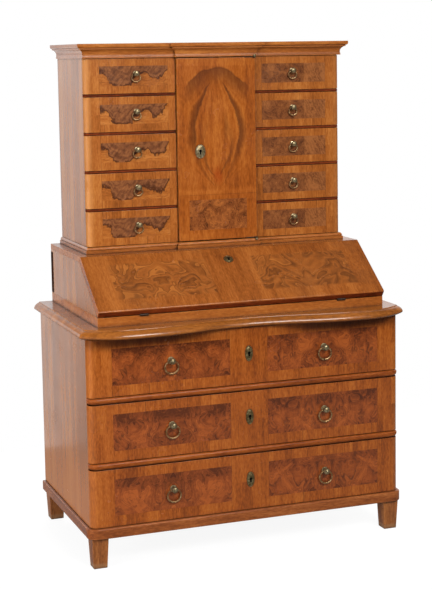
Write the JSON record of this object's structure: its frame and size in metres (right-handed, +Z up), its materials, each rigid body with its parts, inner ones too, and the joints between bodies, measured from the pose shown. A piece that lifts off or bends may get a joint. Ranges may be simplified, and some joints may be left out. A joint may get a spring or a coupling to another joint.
{
  "type": "escritoire",
  "caption": "Walnut escritoire: commode with long drawers, a hinged slant-front writing section, and a cabinet with a centre door between columns of small drawers, on ring pulls.",
  "frame": {"origin": "on the floor, under the middle of the commode top's outline", "axes": "+X to the right of someone facing the front, -Y the way the front faces, +Z up"},
  "size_m": [1.169, 0.7, 1.7235],
  "materials": {
    "case_wood": "waxed walnut",
    "front_veneer": "polished burr walnut veneer",
    "inner_wood": "plain pine, unfinished",
    "brass": "aged brass",
    "hinge_iron": "blackened iron"
  },
  "bodies": {
    "carcase": {"commode_sides": "case_wood", "commode_top": "case_wood", "commode_bottom": "inner_wood", "drawer_rails": "case_wood", "drawer_runners": "inner_wood", "plinth": "case_wood", "feet": "case_wood", "back_boards": "inner_wood", "desk_base_frame": "case_wood", "desk_sides": "case_wood", "desk_top": "case_wood", "writing_floor": "case_wood", "pigeonholes": "inner_wood", "cabinet_sides": "case_wood", "cabinet_partitions": "inner_wood", "cabinet_boards": "case_wood", "cornice": "case_wood", "cabinet_base_moulding": "case_wood", "drawer_dividers": "case_wood", "door_shelf": "inner_wood", "hinge_fixings": "hinge_iron"},
    "upper_drawer": {"upper_drawer_front": "front_veneer", "upper_drawer_box": "inner_wood", "upper_drawer_fittings": "brass"},
    "middle_drawer": {"middle_drawer_front": "front_veneer", "middle_drawer_box": "inner_wood", "middle_drawer_fittings": "brass"},
    "lower_drawer": {"lower_drawer_front": "front_veneer", "lower_drawer_box": "inner_wood", "lower_drawer_fittings": "brass"},
    "small_drawer_left_1": {"small_drawer_left_1": "front_veneer"},
    "small_drawer_left_2": {"small_drawer_left_2": "front_veneer"},
    "small_drawer_left_3": {"small_drawer_left_3": "front_veneer"},
    "small_drawer_left_4": {"small_drawer_left_4": "front_veneer"},
    "small_drawer_left_5": {"small_drawer_left_5": "front_veneer"},
    "small_drawer_right_1": {"small_drawer_right_1": "front_veneer"},
    "small_drawer_right_2": {"small_drawer_right_2": "front_veneer"},
    "small_drawer_right_3": {"small_drawer_right_3": "front_veneer"},
    "small_drawer_right_4": {"small_drawer_right_4": "front_veneer"},
    "small_drawer_right_5": {"small_drawer_right_5": "front_veneer"},
    "door": {"door_panel": "front_veneer", "door_fittings": "brass"},
    "fall": {"fall_front": "front_veneer", "fall_fittings": "brass"},
    "upper_ring_left": {"upper_ring_left": "brass"},
    "upper_ring_right": {"upper_ring_right": "brass"},
    "middle_ring_left": {"middle_ring_left": "brass"},
    "middle_ring_right": {"middle_ring_right": "brass"},
    "lower_ring_left": {"lower_ring_left": "brass"},
    "lower_ring_right": {"lower_ring_right": "brass"},
    "small_ring_left_1": {"small_ring_left_1": "brass"},
    "small_ring_left_2": {"small_ring_left_2": "brass"},
    "small_ring_left_3": {"small_ring_left_3": "brass"},
    "small_ring_left_4": {"small_ring_left_4": "brass"},
    "small_ring_left_5": {"small_ring_left_5": "brass"},
    "small_ring_right_1": {"small_ring_right_1": "brass"},
    "small_ring_right_2": {"small_ring_right_2": "brass"},
    "small_ring_right_3": {"small_ring_right_3": "brass"},
    "small_ring_right_4": {"small_ring_right_4": "brass"},
    "small_ring_right_5": {"small_ring_right_5": "brass"}
  },
  "joints": [
    {"name": "upper_drawer_slide", "type": "slide", "parent": "carcase", "child": "upper_drawer", "axis": [0, -1, 0], "range_m": [0, 0.4]},
    {"name": "middle_drawer_slide", "type": "slide", "parent": "carcase", "child": "middle_drawer", "axis": [0, -1, 0], "range_m": [0, 0.4]},
    {"name": "lower_drawer_slide", "type": "slide", "parent": "carcase", "child": "lower_drawer", "axis": [0, -1, 0], "range_m": [0, 0.4]},
    {"name": "small_drawer_left_1_slide", "type": "slide", "parent": "carcase", "child": "small_drawer_left_1", "axis": [0, -1, 0], "range_m": [0, 0.22]},
    {"name": "small_drawer_left_2_slide", "type": "slide", "parent": "carcase", "child": "small_drawer_left_2", "axis": [0, -1, 0], "range_m": [0, 0.22]},
    {"name": "small_drawer_left_3_slide", "type": "slide", "parent": "carcase", "child": "small_drawer_left_3", "axis": [0, -1, 0], "range_m": [0, 0.22]},
    {"name": "small_drawer_left_4_slide", "type": "slide", "parent": "carcase", "child": "small_drawer_left_4", "axis": [0, -1, 0], "range_m": [0, 0.22]},
    {"name": "small_drawer_left_5_slide", "type": "slide", "parent": "carcase", "child": "small_drawer_left_5", "axis": [0, -1, 0], "range_m": [0, 0.22]},
    {"name": "small_drawer_right_1_slide", "type": "slide", "parent": "carcase", "child": "small_drawer_right_1", "axis": [0, -1, 0], "range_m": [0, 0.22]},
    {"name": "small_drawer_right_2_slide", "type": "slide", "parent": "carcase", "child": "small_drawer_right_2", "axis": [0, -1, 0], "range_m": [0, 0.22]},
    {"name": "small_drawer_right_3_slide", "type": "slide", "parent": "carcase", "child": "small_drawer_right_3", "axis": [0, -1, 0], "range_m": [0, 0.22]},
    {"name": "small_drawer_right_4_slide", "type": "slide", "parent": "carcase", "child": "small_drawer_right_4", "axis": [0, -1, 0], "range_m": [0, 0.22]},
    {"name": "small_drawer_right_5_slide", "type": "slide", "parent": "carcase", "child": "small_drawer_right_5", "axis": [0, -1, 0], "range_m": [0, 0.22]},
    {"name": "door_hinge", "type": "hinge", "parent": "carcase", "child": "door", "pos_m": [0.141, -0.016, 1.354], "axis": [0, 0, 1], "range_deg": [0, 90]},
    {"name": "fall_hinge", "type": "hinge", "parent": "carcase", "child": "fall", "pos_m": [0, -0.2575, 0.8335], "axis": [1, 0, 0], "range_deg": [0, 144]},
    {"name": "upper_ring_left_swing", "type": "hinge", "parent": "upper_drawer", "child": "upper_ring_left", "pos_m": [-0.277, -0.295, 0.679], "axis": [-1, 0, 0], "range_deg": [0, 100]},
    {"name": "upper_ring_right_swing", "type": "hinge", "parent": "upper_drawer", "child": "upper_ring_right", "pos_m": [0.277, -0.295, 0.679], "axis": [-1, 0, 0], "range_deg": [0, 100]},
    {"name": "middle_ring_left_swing", "type": "hinge", "parent": "middle_drawer", "child": "middle_ring_left", "pos_m": [-0.277, -0.295, 0.461], "axis": [-1, 0, 0], "range_deg": [0, 100]},
    {"name": "middle_ring_right_swing", "type": "hinge", "parent": "middle_drawer", "child": "middle_ring_right", "pos_m": [0.277, -0.295, 0.461], "axis": [-1, 0, 0], "range_deg": [0, 100]},
    {"name": "lower_ring_left_swing", "type": "hinge", "parent": "lower_drawer", "child": "lower_ring_left", "pos_m": [-0.277, -0.295, 0.243], "axis": [-1, 0, 0], "range_deg": [0, 100]},
    {"name": "lower_ring_right_swing", "type": "hinge", "parent": "lower_drawer", "child": "lower_ring_right", "pos_m": [0.277, -0.295, 0.243], "axis": [-1, 0, 0], "range_deg": [0, 100]},
    {"name": "small_ring_left_1_swing", "type": "hinge", "parent": "small_drawer_left_1", "child": "small_ring_left_1", "pos_m": [-0.29, -0.007, 1.62155], "axis": [-1, 0, 0], "range_deg": [0, 100]},
    {"name": "small_ring_left_2_swing", "type": "hinge", "parent": "small_drawer_left_2", "child": "small_ring_left_2", "pos_m": [-0.29, -0.007, 1.49165], "axis": [-1, 0, 0], "range_deg": [0, 100]},
    {"name": "small_ring_left_3_swing", "type": "hinge", "parent": "small_drawer_left_3", "child": "small_ring_left_3", "pos_m": [-0.29, -0.007, 1.36175], "axis": [-1, 0, 0], "range_deg": [0, 100]},
    {"name": "small_ring_left_4_swing", "type": "hinge", "parent": "small_drawer_left_4", "child": "small_ring_left_4", "pos_m": [-0.29, -0.007, 1.23185], "axis": [-1, 0, 0], "range_deg": [0, 100]},
    {"name": "small_ring_left_5_swing", "type": "hinge", "parent": "small_drawer_left_5", "child": "small_ring_left_5", "pos_m": [-0.29, -0.007, 1.10195], "axis": [-1, 0, 0], "range_deg": [0, 100]},
    {"name": "small_ring_right_1_swing", "type": "hinge", "parent": "small_drawer_right_1", "child": "small_ring_right_1", "pos_m": [0.29, -0.007, 1.62155], "axis": [-1, 0, 0], "range_deg": [0, 100]},
    {"name": "small_ring_right_2_swing", "type": "hinge", "parent": "small_drawer_right_2", "child": "small_ring_right_2", "pos_m": [0.29, -0.007, 1.49165], "axis": [-1, 0, 0], "range_deg": [0, 100]},
    {"name": "small_ring_right_3_swing", "type": "hinge", "parent": "small_drawer_right_3", "child": "small_ring_right_3", "pos_m": [0.29, -0.007, 1.36175], "axis": [-1, 0, 0], "range_deg": [0, 100]},
    {"name": "small_ring_right_4_swing", "type": "hinge", "parent": "small_drawer_right_4", "child": "small_ring_right_4", "pos_m": [0.29, -0.007, 1.23185], "axis": [-1, 0, 0], "range_deg": [0, 100]},
    {"name": "small_ring_right_5_swing", "type": "hinge", "parent": "small_drawer_right_5", "child": "small_ring_right_5", "pos_m": [0.29, -0.007, 1.10195], "axis": [-1, 0, 0], "range_deg": [0, 100]}
  ]
}
